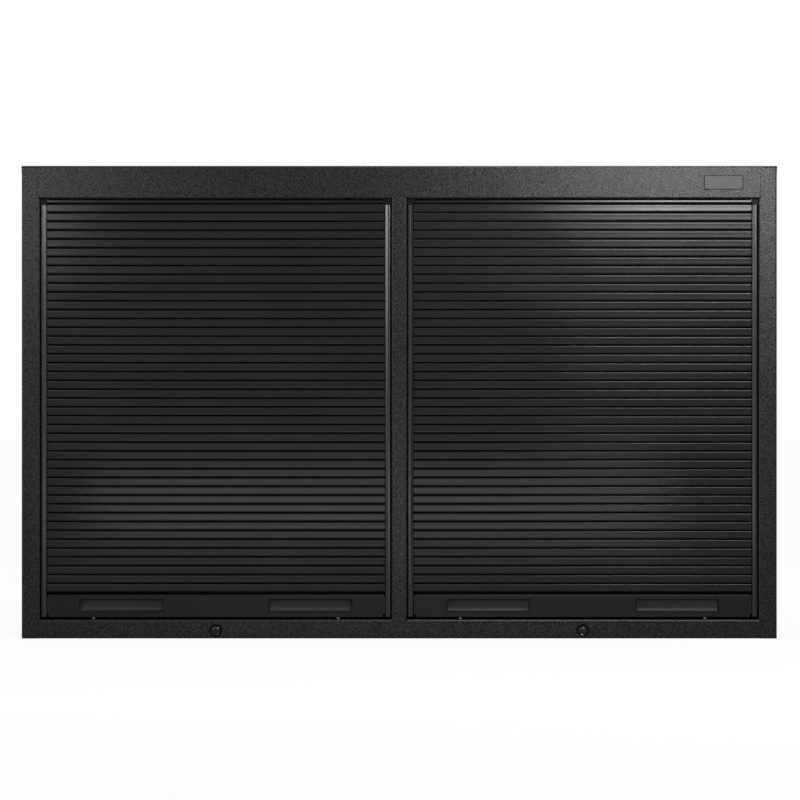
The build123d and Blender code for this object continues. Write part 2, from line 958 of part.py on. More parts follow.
def barrel_plugs(door_x):
    """Bearing plugs in both ends of the barrel tube, turning on the shaft."""
    with BuildPart() as plugs:
        for end in (-1, 1):
            with BuildSketch(across(door_x + end * tube_length / 2)):
                with Locations((barrel_y, barrel_z)):
                    octagon(barrel_radius - barrel_wall - barrel_fit)
                    Circle(shaft_radius + shaft_fit, mode=Mode.SUBTRACT)
            extrude(amount=-end * plug_depth)
    return plugs


def barrel_spring(door_x):
    """Torsion spring round the shaft, between the plugs, as a plain sleeve."""
    with BuildPart() as spring:
        with BuildSketch(across(door_x)):
            with Locations((barrel_y, barrel_z)):
                Circle(spring_radius)
                Circle(spring_radius - spring_wire, mode=Mode.SUBTRACT)
        extrude(amount=tube_length / 2 - plug_depth, both=True)
    return spring


def shelf(side):
    """Shelf with its front and rear edges folded down."""
    with BuildPart() as board:
        with BuildSketch(across(side * shelf_inner)):
            creased(
                [
                    (shelf_front + half_sheet, shelf_low),
                    (shelf_front + half_sheet, shelf_level - half_sheet),
                    (shelf_rear - half_sheet, shelf_level - half_sheet),
                    (shelf_rear - half_sheet, shelf_low),
                ],
                sheet,
            )
        extrude(amount=side * (shelf_outer - shelf_inner))
    return board


def bay_walls(side):
    """The two walls that carry a bay's shelf: where each stands and which way it faces."""
    return ((side * (skin - sheet), -side), (side * half_sheet, side))


def shelf_strips(side):
    """Slotted channels on both walls of a bay."""
    slot_levels = [clip_z + (row - slot_rows // 2) * slot_pitch for row in range(slot_rows)]
    with BuildPart() as strips:
        for wall, facing in bay_walls(side):
            for row in strip_rows:
                edge = strip_width / 2 - strip_sheet / 2
                foot = wall + facing * strip_sheet / 2
                crest = wall + facing * (strip_depth - strip_sheet / 2)
                with BuildSketch(Plane.XY.offset(strip_foot)):
                    creased(
                        [
                            (foot, row - edge),
                            (crest, row - edge),
                            (crest, row + edge),
                            (foot, row + edge),
                        ],
                        strip_sheet,
                    )
                extrude(amount=strip_high - strip_foot)
            with BuildSketch(across(wall + facing * (strip_depth - strip_sheet - fit))):
                with Locations(*[(row, level) for row in strip_rows for level in slot_levels]):
                    Rectangle(slot_width, slot_height)
            extrude(amount=facing * (strip_sheet + 2 * fit), mode=Mode.SUBTRACT)
    return strips


def shelf_clips(side):
    """Ledges that hook into the strips and carry the ends of the shelf."""
    with BuildPart() as clips:
        for wall, facing in bay_walls(side):
            strip_face = wall + facing * strip_depth
            for row in strip_rows:
                low, high = shelf_under - clip_height, shelf_under
                with BuildSketch(facing_front(row - clip_width / 2)):
                    patch(strip_face, strip_face + facing * clip_wall, low, high)
                    patch(strip_face, strip_face + facing * clip_ledge, high - clip_wall, high)
                extrude(amount=-clip_width)
                with BuildSketch(across(strip_face)):
                    with Locations((row, clip_z)):
                        Rectangle(slot_width - 2 * fit, slot_height - 2 * fit)
                extrude(amount=-facing * clip_tongue)
    return clips


# Case
save(top_panel(), "top_panel")
save(bottom_panel(), "bottom_panel")
save(back_panel(), "back_panel")
save(centre_post(), "centre_post")
save(centre_divider(), "centre_divider")
save(wall_rail(bolt_low_z), "lower_wall_rail")
save(wall_rail(bolt_high_z), "upper_wall_rail")
save(lock_bodies(), "lock_bodies")
save(lock_clips(), "lock_clips")

# What each half of the cabinet holds
for side, half in ((-1, "left"), (1, "right")):
    door_x = side * door_offset
    save(side_panel(side), f"{half}_side_panel")
    save(track(door_x + side * opening_width / 2, -side), f"{half}_outer_track")
    save(track(door_x - side * opening_width / 2, side), f"{half}_inner_track")
    save(track_guides(door_x), f"{half}_track_guides")
    save(roller_cover(door_x), f"{half}_roller_cover")
    save(barrel_brackets(door_x), f"{half}_barrel_brackets")
    save(barrel_shaft(door_x), f"{half}_barrel_shaft")
    save(barrel_tube(door_x), f"{half}_barrel_tube")
    save(barrel_plugs(door_x), f"{half}_barrel_plugs")
    save(barrel_spring(door_x), f"{half}_barrel_spring")
    save(curtain(door_x), f"{half}_curtain_slats")
    save(hangers(door_x), f"{half}_curtain_hangers")
    save(bottom_bar(door_x), f"{half}_bottom_bar")
    save(bar_end_guides(door_x), f"{half}_bar_end_guides")
    save(door_pulls(door_x), f"{half}_door_pulls")
    save(bumpers(door_x), f"{half}_door_bumpers")
    save(lock_stud(door_x), f"{half}_lock_stud")
    save(lock_plug(door_x), f"{half}_lock_plug")
    save(lock_cam(door_x), f"{half}_lock_cam")
    save(shelf_strips(side), f"{half}_shelf_strips")
    save(shelf_clips(side), f"{half}_shelf_clips")
    save(shelf(side), f"{half}_shelf")
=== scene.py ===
"""Looks of the wall cabinet with two tambour doors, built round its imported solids."""

import json
import math

import bmesh
import bpy
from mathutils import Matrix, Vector


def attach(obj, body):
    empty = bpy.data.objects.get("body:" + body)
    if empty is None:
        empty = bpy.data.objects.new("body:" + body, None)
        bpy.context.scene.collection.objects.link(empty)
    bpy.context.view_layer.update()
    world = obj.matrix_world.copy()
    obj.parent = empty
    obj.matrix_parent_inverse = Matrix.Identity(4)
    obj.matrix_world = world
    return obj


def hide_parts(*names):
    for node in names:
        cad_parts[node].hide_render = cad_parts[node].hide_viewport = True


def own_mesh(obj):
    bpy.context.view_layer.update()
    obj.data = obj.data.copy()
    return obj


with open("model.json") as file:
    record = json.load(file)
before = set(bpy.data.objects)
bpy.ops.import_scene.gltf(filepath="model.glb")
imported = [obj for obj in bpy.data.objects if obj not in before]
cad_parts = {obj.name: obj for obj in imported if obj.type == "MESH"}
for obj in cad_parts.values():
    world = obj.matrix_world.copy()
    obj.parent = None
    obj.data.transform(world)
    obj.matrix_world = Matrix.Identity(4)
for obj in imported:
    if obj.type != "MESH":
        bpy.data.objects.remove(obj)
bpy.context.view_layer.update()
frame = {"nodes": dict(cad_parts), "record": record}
scene = bpy.context.scene
MM = 0.001
HALVES = (("left", -1), ("right", 1))

# Doors, in millimetres: middle of each from the cabinet's middle, face of the case, opening
DOOR_OFFSET = 330.0
FRONT = -175.0
OPENING_WIDE = 632.0

# Curtain: the lowest slats are rigid with the bar, and the last ones lean back by these degrees
SLAT_PITCH = 15.9
SLAT_LENGTH = 622.0
SLATS_SHOWN = 44
SLATS_RIGID = 4
SLAT_LEANS = (0.9, 1.8, 40.0, 60.0)
CURTAIN_LOW = 82.8
CURTAIN_FRONT = -165.4
HOOK_POINT = (2.5, 2.7)

# Section of a slat: depth behind the crown, height over the foot of its pitch, corner radius
SLAT_CROWN = 0.32
CROWN_POWER = 10
SLAT_DISH = 0.06
FACE_LOW = 1.55
FACE_HIGH = SLAT_PITCH - FACE_LOW
SLAT_BACK = [
    (3.4, FACE_HIGH, 0.3),
    (3.4, SLAT_PITCH + 2.2, 0.2),
    (2.0, SLAT_PITCH + 2.2, 0.2),
    (2.0, SLAT_PITCH + 3.2, 0.3),
    (4.4, SLAT_PITCH + 3.2, 0.4),
    (4.4, FACE_HIGH - 1.0, 0.4),
    (1.6, FACE_HIGH - 1.0, 0.3),
    (1.6, 1.8, 0.3),
    (3.0, 1.8, 0.2),
    (3.0, FACE_LOW, 0.2),
]

# Section of a track: distance from the post, depth behind the front, corner radius, nose first
TRACK_LOW = 39.0
TRACK_HIGH = 780.0
TRACK_NOSE = [(2.1, 4.5, 0.8), (6.3, 4.5, 1.5), (10.7, 6.34, 0.0)]
TRACK_CHANNEL = [
    (11.8, 6.8, 0.5),
    (11.8, 9.15, 0.3),
    (1.6, 9.15, 0.0),
    (1.6, 14.45, 0.0),
    (11.8, 14.45, 0.3),
    (11.8, 16.05, 0.3),
    (0.0, 16.05, 0.0),
    (0.0, 7.0, 0.0),
    (2.1, 7.0, 0.0),
]

# Black strip under the header, painted shade for the dark gap there: depth, height and corner radius of
# its section
SHADE_STRIP_LENGTH = 606.0
SHADE_STRIP_SECTION = [(-172.2, 791.0, 0.0), (-169.6, 791.0, 0.0), (-169.6, 789.1, 0.6), (-172.2, 789.1, 0.6)]

# Bottom bar: its face, its middle, its height, and the stretch above it over which painted shade turns
# its tongue dull and near black
BAR_FRONT = -169.5
BAR_MIDDLE = -164.4
BAR_HIGH = 78.3
TONGUE_SHADE_FADE = (0.1, 0.4)

# Pulls: outline, rim rolled over to both sides with its strips in painted shade, and cup behind the bar's
# face
PULL_OFFSET = 170.0
PULL_WIDE = 150.4
PULL_TALL = 23.4
PULL_Z = 58.7
PULL_CORNER = 2.4
PULL_PROUD = 0.6
PULL_NECK = 1.2
PULL_MOUTH = 2.0
OUTER_ROLL = (0.45, 0.3)
INNER_ROLL = (0.55, 0.5)
PULL_SHADE_ROWS = range(2, 6)
CUP_BACK = -161.2
CUP_FLOOR = -162.0
CUP_CORNER = 1.6
CUP_WALL = 2.1
CUP_DRAFT = 0.6
CUP_SCOOP = 3.5

# Bumpers: half their width, top, foot, and the rounding of the foot
BUMPER_OFFSET = 220.0
BUMPER_HALF = 2.5
BUMPER_HIGH = 37.8
BUMPER_LOW = 34.1
BUMPER_ROUND = (1.0, 1.9)
BUMPER_CORNER = 0.9

# Locks: radii, heights before the case's front, negative behind it, and the head's strips in painted
# shade
LOCK_Z = 14.8
BODY_RADIUS = 7.9
BODY_BACK = -15.0
HEAD_RADIUS = 11.2
HEAD_EDGE = 1.3
HEAD_ROLL = (1.4, 1.1)
HEAD_SHADE_ROWS = range(2, 9)
BORE_RADIUS = 7.65
BORE_EDGE = 1.1
BORE_BACK = -4.0
TAIL_RADIUS = 3.5
TAIL_BACK = -20.1
PLUG_RADIUS = 7.5
PLUG_BACK = -17.6
PLUG_EDGE = 0.5
DOME_RADIUS = 6.6
DOME_LOW = 0.95
DOME_RISE = 1.31
DOME_RINGS = (5.8, 5.0, 4.2, 3.4, 2.7)

# Key slot: half its width, half its height, corner, and pairs of growth and height from its lip inwards
KEY_HALF_WIDE = 0.7
KEY_HALF_TALL = 1.9
KEY_CORNER = 0.5
KEY_LIP = ((0.4, 2.1), (0.1, 2.05), (0.0, 1.8), (0.0, -7.0))

# Bare plate on the header, and its edge as inset and height before the front
PLATE_X = 583.0
PLATE_Z = 820.0
PLATE_WIDE = 70.0
PLATE_TALL = 25.0
PLATE_CORNER = 1.6
PLATE_EDGE = ((0.0, 0.0), (0.0, 0.9), (0.2, 1.1), (0.8, 1.1), (1.0, 0.8))

# Fineness of the meshes, and the edges that stay sharp
CROWN_STEPS = 18
FILLET_STEPS = 3
CORNER_STEPS = 6
CIRCLE_STEPS = 10
PAD_STEPS = 4
FOOT_STEPS = 3
ROLL_STEPS = 2
RIM_STEPS = 6
SCOOP_STEPS = 7
BEVEL_STEPS = 2
NEARLY_ROUND = 0.995
SHARP_ANGLE = math.radians(40.0)
WELD_REACH = 0.00002

# Looks: usual spread of a noise, and how far lines and clouds are drawn out along an axis
SPREAD = (0.3, 0.7)
LINES_ALONG_X = (0.004, 1, 1)
LINES_ALONG_Z = (1, 1, 0.004)
CLOUDS_ALONG_X = (0.4, 1, 1)
BRUSHED_ALONG_X = (0.02, 1, 1)
DUST_ROUGHNESS = 0.6
DUST_FACING = (0.85, 0.99)

# Studio, in metres: the floor, and the world's brightness on the camera's side and all round
FLOOR_SIZE = 30.0
FLOOR_COLOUR = (0.85, 0.85, 0.85)
FLOOR_ROUGHNESS = 0.9
FLOOR_GLOW = 0.93
FLOOR_DIM = 0.2
FLOOR_FADE = (-0.2, 0.6)
WORLD_FRONT = 0.3
WORLD_SIDE = 1.0
WORLD_FADE = (-0.55, 0.35)

# Lamps: name, place, width and height, watts, and degrees that they look down
LAMPS = (
    ("key_right", (0.78, -2.575, 1.09), (0.66, 0.2), 9.4, 0.0),
    ("fill_left", (-1.03, -2.575, 1.03), (0.2, 0.4), 2.3, 0.0),
    ("side_left", (-3.1, -3.2, 1.15), (1.5, 0.6), 20.0, 0.0),
    ("low_front", (-0.05, -1.675, 0.193), (1.3, 0.08), 0.9, 0.0),
    ("overhead", (0.42, -1.0, 2.0), (0.95, 0.6), 16.0, 60.0),
)

# Camera, in millimetres apart from the clip in metres: square on, level with the photograph's middle
PICTURE = 800
PHOTO_SCALE = 1.7977
PHOTO_MIDDLE_X = 1.3
PHOTO_MIDDLE_Z = 428.9
CAMERA_DISTANCE = 6000.0
SENSOR = 36.0
FARTHEST_SEEN = 100.0


def new_piece(name, shape, body, finishes, stands_for=()):
    """Turn a finished bmesh in millimetres into a smooth piece that rides on a body."""
    bmesh.ops.scale(shape, vec=(MM, MM, MM), verts=shape.verts)
    bmesh.ops.recalc_face_normals(shape, faces=shape.faces)
    mesh = bpy.data.meshes.new(name)
    shape.to_mesh(mesh)
    shape.free()
    for finish in finishes:
        mesh.materials.append(FINISHES[finish])
    for face in mesh.polygons:
        face.use_smooth = True
    mesh.set_sharp_from_angle(angle=SHARP_ANGLE)
    piece = bpy.data.objects.new(name, mesh)
    scene.collection.objects.link(piece)
    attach(piece, body)
    if stands_for:
        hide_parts(*stands_for)
    return piece


def filleted(corners):
    """Closed outline through corners (a, b, radius), with an arc at each corner that has one."""
    outline = []
    for index, (a, b, radius) in enumerate(corners):
        here = Vector((a, b))
        if not radius:
            outline.append(here)
            continue
        before = (Vector(corners[index - 1][:2]) - here).normalized()
        after = (Vector(corners[(index + 1) % len(corners)][:2]) - here).normalized()
        half = before.angle(after) / 2
        middle = here + (before + after).normalized() * radius / math.sin(half)
        reach = radius / math.tan(half)
        first, last = here + before * reach - middle, here + after * reach - middle
        for step in range(FILLET_STEPS + 1):
            outline.append(middle + first.lerp(last, step / FILLET_STEPS).normalized() * radius)
    return outline


def arc(middle, reach, start, end, steps):
    """Points of an elliptical arc about a middle, between two angles in degrees."""
    points = []
    for step in range(steps + 1):
        angle = math.radians(start + (end - start) * step / steps)
        points.append((middle[0] + reach[0] * math.cos(angle), middle[1] + reach[1] * math.sin(angle)))
    return points


def ring(half, low, high, radius, steps=CORNER_STEPS):
    """Rounded rectangle about a = 0, from b = low to b = high, as (a, b) points."""
    right, left = half - radius, radius - half
    top, bottom = high - radius, low + radius
    corners = ((right, top), (left, top), (left, bottom), (right, bottom))
    points = []
    for quarter, middle in enumerate(corners):
        points += arc(middle, (radius, radius), 90 * quarter, 90 * (quarter + 1), steps)
    return points


def round_ring(radius, level):
    """Circle about a height, made of four corners as a rounded rectangle is."""
    return ring(radius, level - radius, level + radius, NEARLY_ROUND * radius, CIRCLE_STEPS)


def upright(points, x, y):
    """Points of a ring, set upright at a depth y about a place x."""
    return [(x + a, y, b) for a, b in points]


def across(outline, x, length):
    """The two end outlines of a bar of a length that lies across the front, with its middle at x."""
    return [[(end, y, z) for y, z in outline] for end in (x - length / 2, x + length / 2)]


def add_prism(shape, ends, shown=None):
    """Add a bar between two like end outlines, in the second finish past the points that show."""
    first, last = [[shape.verts.new(point) for point in end] for end in ends]
    for index in range(len(first)):
        after = (index + 1) % len(first)
        face = shape.faces.new((first[index], first[after], last[after], last[index]))
        face.material_index = 1 if shown and index >= shown - 1 else 0
    shape.faces.new(first)
    shape.faces.new(last)


def add_shell(shape, loops, last_material=0, shaded_rows=()):
    """Skin a row of closed loops of equal length, some strips of it in painted shade, and cap both ends.
    """
    rings = [[shape.verts.new(point) for point in loop] for loop in loops]
    for row, (here, following) in enumerate(zip(rings, rings[1:])):
        for index in range(len(here)):
            after = (index + 1) % len(here)
            face = shape.faces.new((here[index], here[after], following[after], following[index]))
            face.material_index = 1 if row in shaded_rows else 0
    shape.faces.new(rings[0])
    shape.faces.new(rings[-1]).material_index = last_material


def slat_section():
    """Section of one slat, with a crowned face and soft edges, and how many of its points show."""
    corners = []
    middle = (FACE_LOW + FACE_HIGH) / 2
    half = (FACE_HIGH - FACE_LOW) / 2
    for step in range(CROWN_STEPS + 1):
        share = math.sin(math.pi * (step / CROWN_STEPS - 0.5))
        depth = SLAT_CROWN * share**CROWN_POWER + SLAT_DISH * (1 - share**2)
        corners.append((depth, middle + half * share, 0.0))
    return filleted(corners + SLAT_BACK), len(corners)


def lean(point, angle):
    """A slat's own point after the slat leans back by an angle in degrees."""
    turn = math.radians(angle)
    y, z = point
    return Vector((y * math.cos(turn) + z * math.sin(turn), z * math.cos(turn) - y * math.sin(turn)))


def slat_places():
    """Foot and lean of every slat, from the lowest up and then over towards the barrel."""
    feet = [Vector((CURTAIN_FRONT, CURTAIN_LOW + row * SLAT_PITCH)) for row in range(SLATS_SHOWN)]
    places = [(foot, 0.0) for foot in feet[:-1]]
    hook = feet[-1] + Vector(HOOK_POINT)
    for angle in SLAT_LEANS:
        places.append((hook - lean(HOOK_POINT, angle), angle))
        hook = hook + lean((0, SLAT_PITCH), angle)
    return places


def add_curtain(half, side):
    """The slats of one door: the lowest ride with the bar, the rest fold away behind the header."""
    section, shown = slat_section()
    places = slat_places()
    groups = (("foot", places[:SLATS_RIGID]), ("run", places[SLATS_RIGID:]))
    for group, members in groups:
        shape = bmesh.new()
        for foot, angle in members:
            outline = [foot + lean(point, angle) for point in section]
            add_prism(shape, across(outline, side * DOOR_OFFSET, SLAT_LENGTH), shown)
        # Past the crowned face, the hooks and backs of the slats take the painted shade that darkens the
        # gaps between them.
        piece = new_piece(
            f"{half}_curtain_{group}",
            shape,
            f"{half}_door",
            ["slat_alloy", "painted_shade"],
            [f"{half}_curtain_slats"],
        )
        if group == "run":
            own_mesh(piece)


def add_tracks(half, side):
    """The two channels of a door: bright rounded nose, and painted shade, near black, in the groove and
    along the lip.
    """
    outline = filleted(TRACK_NOSE + TRACK_CHANNEL)
    shown = sum(FILLET_STEPS + 1 if radius else 1 for _, _, radius in TRACK_NOSE)
    for place, inward in (("outer", -side), ("inner", side)):
        post = side * DOOR_OFFSET - inward * OPENING_WIDE / 2
        shape = bmesh.new()
        ends = [[(post + inward * u, FRONT + v, z) for u, v in outline] for z in (TRACK_LOW, TRACK_HIGH)]
        add_prism(shape, ends, shown)
        new_piece(
            f"{half}_{place}_channel",
            shape,
            "case",
            ["track_alloy", "painted_shade"],
            [f"{half}_{place}_track"],
        )


def add_header_shade_strip(half, side):
    """Black strip under the header's return, in front of the slats: painted shade for the gap under the
    header.
    """
    shape = bmesh.new()
    add_prism(shape, across(filleted(SHADE_STRIP_SECTION), side * DOOR_OFFSET, SHADE_STRIP_LENGTH))
    new_piece(f"{half}_header_shade", shape, "case", ["painted_shade"])


def pull_steps():
    """Inset, lift of the lower edge and height before the bar's face, from a pull's back to its floor."""
    steps = [(PULL_NECK, 0.0, BAR_FRONT - CUP_BACK), (PULL_NECK, 0.0, 0.0), (0.0, 0.0, 0.0)]
    outer_middle = (OUTER_ROLL[0], PULL_PROUD - OUTER_ROLL[1])
    inner_middle = (PULL_MOUTH - INNER_ROLL[0], PULL_PROUD - INNER_ROLL[1])
    rim = arc(outer_middle, OUTER_ROLL, 180, 90, ROLL_STEPS)
    rim += arc(inner_middle, INNER_ROLL, 90, 0, ROLL_STEPS)
    steps += [(inset, 0.0, height) for inset, height in rim]
    scoop_start = BAR_FRONT - CUP_FLOOR + CUP_SCOOP
    for ahead, deeper in arc((0, 0), (CUP_SCOOP, CUP_SCOOP), 0, 90, SCOOP_STEPS):
        lift = CUP_SCOOP - ahead
        steps.append((CUP_WALL + CUP_DRAFT * lift / CUP_SCOOP, lift, scoop_start - deeper))
    return steps


def add_pulls(half, side):
    """The two finger cups of a door: thin rolled rim outlined in painted shade, drafted walls and a
    scooped floor.
    """
    shape = bmesh.new()
    for offset in (-PULL_OFFSET, PULL_OFFSET):
        loops = []
        for inset, lift, height in pull_steps():
            low = PULL_Z - PULL_TALL / 2 + inset + lift
            high = PULL_Z + PULL_TALL / 2 - inset
            outline = ring(PULL_WIDE / 2 - inset, low, high, max(PULL_CORNER - inset, CUP_CORNER))
            loops.append(upright(outline, side * DOOR_OFFSET + offset, BAR_FRONT - height))
        add_shell(shape, loops, shaded_rows=PULL_SHADE_ROWS)
    stands_for = [f"{half}_door_pulls"]
    new_piece(f"{half}_pulls", shape, f"{half}_door", ["cup", "painted_shade"], stands_for)


def add_bumpers(half, side):
    """Moulded pads under the bar, with a rounded foot."""
    middle = (BUMPER_HALF - BUMPER_ROUND[0], BUMPER_LOW + BUMPER_ROUND[1])
    profile = [(BUMPER_HALF, BUMPER_HIGH)] + arc(middle, BUMPER_ROUND, 0, -90, FOOT_STEPS)
    shape = bmesh.new()
    for offset in (-BUMPER_OFFSET, BUMPER_OFFSET):
        loops = []
        for reach, level in profile:
            outline = ring(reach, -reach, reach, BUMPER_CORNER, PAD_STEPS)
            x = side * DOOR_OFFSET + offset
            loops.append([(x + a, BAR_MIDDLE + b, level) for a, b in outline])
        add_shell(shape, loops)
    stands_for = [f"{half}_door_bumpers"]
    new_piece(f"{half}_bumpers", shape, f"{half}_door", ["bumper"], stands_for)


def lock_rings(profile, side):
    """Circles about the lock of one door, from pairs of radius and height before the front."""
    return [upright(round_ring(r, LOCK_Z), side * DOOR_OFFSET, FRONT - height) for r, height in profile]


def add_lock_heads():
    """Black heads of both locks on the rail, with a rolled rim in painted shade round the plug and bodies
    behind.
    """
    profile = [(BODY_RADIUS, BODY_BACK), (BODY_RADIUS, 0.0), (HEAD_RADIUS, 0.0)]
    profile += arc((HEAD_RADIUS - HEAD_ROLL[0], HEAD_EDGE), HEAD_ROLL, 0, 180, RIM_STEPS)
    profile += [(BORE_RADIUS, BORE_EDGE), (BORE_RADIUS, BORE_BACK)]
    shape = bmesh.new()
    for _, side in HALVES:
        add_shell(shape, lock_rings(profile, side), shaded_rows=HEAD_SHADE_ROWS)
    new_piece("lock_heads", shape, "case", ["lock_black", "painted_shade"], ["lock_bodies"])


def add_lock_plug(half, side):
    """Turning plug with a domed face and a key slot."""
    profile = [(TAIL_RADIUS, TAIL_BACK), (TAIL_RADIUS, PLUG_BACK), (PLUG_RADIUS, PLUG_BACK)]
    edge = (PLUG_RADIUS - DOME_RADIUS, DOME_LOW - PLUG_EDGE)
    profile += arc((DOME_RADIUS, PLUG_EDGE), edge, 0, 90, ROLL_STEPS)
    for radius in DOME_RINGS:
        profile.append((radius, DOME_LOW + DOME_RISE * (1 - (radius / DOME_RADIUS) ** 2)))
    loops = lock_rings(profile, side)
    for grow, height in KEY_LIP:
        tall = KEY_HALF_TALL + grow
        slot = ring(KEY_HALF_WIDE + grow, LOCK_Z - tall, LOCK_Z + tall, KEY_CORNER + grow, CIRCLE_STEPS)
        loops.append(upright(slot, side * DOOR_OFFSET, FRONT - height))
    shape = bmesh.new()
    add_shell(shape, loops)
    stands_for = [f"{half}_lock_plug"]
    new_piece(f"{half}_plug", shape, f"{half}_lock", ["lock_black"], stands_for)


def add_plate():
    """Bare plate on the header: satin field with its edge in painted shade."""
    loops = []
    for inset, height in PLATE_EDGE:
        tall = PLATE_TALL / 2 - inset
        outline = ring(PLATE_WIDE / 2 - inset, PLATE_Z - tall, PLATE_Z + tall, PLATE_CORNER - inset)
        loops.append(upright(outline, PLATE_X, FRONT - height))
    shape = bmesh.new()
    add_shell(shape, loops, last_material=1)
    new_piece("blank_plate", shape, "case", ["painted_shade", "plate"])


def add_node(tree, kind, **settings):
    """A new node with some of its settings made."""
    node = tree.nodes.new(kind)
    for name, value in settings.items():
        setattr(node, name, value)
    return node


def new_material(name, colour, roughness, metallic=0.0, specular=0.5):
    """A principled material, its shader, and the place on the object in metres."""
    material = bpy.data.materials.new(name)
    material.use_nodes = True
    shader = material.node_tree.nodes["Principled BSDF"]
    shader.inputs["Base Color"].default_value = (*colour, 1.0)
    shader.inputs["Roughness"].default_value = roughness
    shader.inputs["Metallic"].default_value = metallic
    shader.inputs["Specular IOR Level"].default_value = specular
    coordinates = add_node(material.node_tree, "ShaderNodeTexCoord")
    return material, shader, coordinates.outputs["Object"]


def noise(tree, place, scale, detail, stretch=(1, 1, 1)):
    """Noise of a given scale per metre, drawn out along some axes."""
    mapping = add_node(tree, "ShaderNodeMapping")
    mapping.inputs["Scale"].default_value = stretch
    texture = add_node(tree, "ShaderNodeTexNoise")
    texture.inputs["Scale"].default_value = scale
    texture.inputs["Detail"].default_value = detail
    tree.links.new(place, mapping.inputs["Vector"])
    tree.links.new(mapping.outputs["Vector"], texture.inputs["Vector"])
    return texture.outputs["Fac"]


def ranged(tree, value, low, high, spread=SPREAD, kind="LINEAR"):
    """Bring a value from its spread to the range from low to high."""
    node = add_node(tree, "ShaderNodeMapRange", interpolation_type=kind)
    for name, number in zip(("From Min", "From Max", "To Min", "To Max"), (*spread, low, high)):
        node.inputs[name].default_value = number
    tree.links.new(value, node.inputs["Value"])
    return node.outputs["Result"]


def eased(tree, value, low, high, spread):
    """A smooth step from low to high over a spread of a value."""
    return ranged(tree, value, low, high, spread, "SMOOTHSTEP")


def highest(tree, *values):
    """The highest of some values."""
    result = values[0]
    for value in values[1:]:
        node = add_node(tree, "ShaderNodeMath", operation="MAXIMUM")
        tree.links.new(result, node.inputs[0])
        tree.links.new(value, node.inputs[1])
        result = node.outputs["Value"]
    return result


def along(tree, vector, axis):
    """A vector's part along one axis."""
    node = add_node(tree, "ShaderNodeSeparateXYZ")
    tree.links.new(vector, node.inputs["Vector"])
    return node.outputs[axis]


def tint(tree, shader, value, dark, light):
    """Mix the base colour from two by a noise."""
    ramp = add_node(tree, "ShaderNodeValToRGB")
    for element, position, colour in zip(ramp.color_ramp.elements, SPREAD, (dark, light)):
        element.position = position
        element.color = (*colour, 1.0)
    tree.links.new(value, ramp.inputs["Fac"])
    tree.links.new(ramp.outputs["Color"], shader.inputs["Base Color"])


def roughen(tree, shader, value, low, high):
    """Let the roughness go from low to high with a noise."""
    tree.links.new(ranged(tree, value, low, high), shader.inputs["Roughness"])


def emboss(tree, shader, value, strength, distance, below=None):
    """Raise the surface by a noise, on top of an earlier relief where one is given."""
    bump = add_node(tree, "ShaderNodeBump")
    bump.inputs["Strength"].default_value = strength
    bump.inputs["Distance"].default_value = distance
    tree.links.new(value, bump.inputs["Height"])
    if below:
        tree.links.new(below, bump.inputs["Normal"])
    tree.links.new(bump.outputs["Normal"], shader.inputs["Normal"])
    return bump.outputs["Normal"]


def coat_material():
    """Black powder coat with a fine pebbled skin, duller with dust on faces that look up."""
    material, shader, place = new_material("powder_coat", (0.006, 0.006, 0.0063), 0.27)
    tree = material.node_tree
    pebbles = noise(tree, place, 430.0, 3.0)
    grain = noise(tree, place, 1300.0, 2.0)
    tint(tree, shader, pebbles, (0.004, 0.004, 0.0042), (0.0085, 0.0085, 0.0088))
    tree.links.new(ranged(tree, pebbles, 0.15, 0.85), shader.inputs["Specular IOR Level"])
    upward = along(tree, add_node(tree, "ShaderNodeTexCoord").outputs["Normal"], "Z")
    dust = eased(tree, upward, 0.0, DUST_ROUGHNESS, DUST_FACING)
    tree.links.new(highest(tree, ranged(tree, pebbles, 0.22, 0.32), dust), shader.inputs["Roughness"])
    skin = emboss(tree, shader, pebbles, 1.0, 0.0002)
    emboss(tree, shader, grain, 0.5, 0.00003, skin)
    return material


def add_extruded_skin(tree, shader, place, low, high):
    """Cloudy gloss and faint lines, drawn out across the front. Gives the clouds."""
    clouds = noise(tree, place, 14.0, 3.0, CLOUDS_ALONG_X)
    lines = noise(tree, place, 700.0, 2.0, LINES_ALONG_X)
    roughen(tree, shader, clouds, low, high)
    emboss(tree, shader, lines, 0.06, 0.0001)
    return clouds


def slat_material():
    """Satin black slats with faint lines along the extrusion."""
    material, shader, place = new_material("satin_black", (0.011, 0.011, 0.0114), 0.17, specular=0.38)
    tree = material.node_tree
    clouds = add_extruded_skin(tree, shader, place, 0.15, 0.19)
    tint(tree, shader, clouds, (0.01, 0.01, 0.0103), (0.012, 0.012, 0.0124))
    return material


def bar_material():
    """Satin black bar, with painted shade on the tongue that goes up into the lowest slat: dull and near
    black there.
    """
    material, shader, place = new_material("satin_bar", (0.006, 0.006, 0.0063), 0.34)
    tree = material.node_tree
    add_extruded_skin(tree, shader, place, 0.31, 0.37)
    height = along(tree, place, "Z")
    fade = [(BAR_HIGH + above) * MM for above in TONGUE_SHADE_FADE]
    # Painted shade: above the bar's top the tongue loses its gloss and goes near black.
    tree.links.new(ranged(tree, height, 0.34, 0.03, fade), shader.inputs["Specular IOR Level"])
    tongue_shade = ranged(tree, height, *SPREAD, fade)
    tint(tree, shader, tongue_shade, (0.0062, 0.0062, 0.0065), (0.001, 0.001, 0.001))
    return material


def painted_shade_material():
    """Painted shade, near black and dull, on what shows only as a dark line: joints, grooves, the strip
    under the header, rims and the plate's edge.
    """
    material, shader, place = new_material("painted_shade_black", (0.002, 0.002, 0.002), 0.8, specular=0.05)
    tree = material.node_tree
    dust = noise(tree, place, 120.0, 3.0)
    tint(tree, shader, dust, (0.0015, 0.0015, 0.0015), (0.003, 0.003, 0.003))
    return material


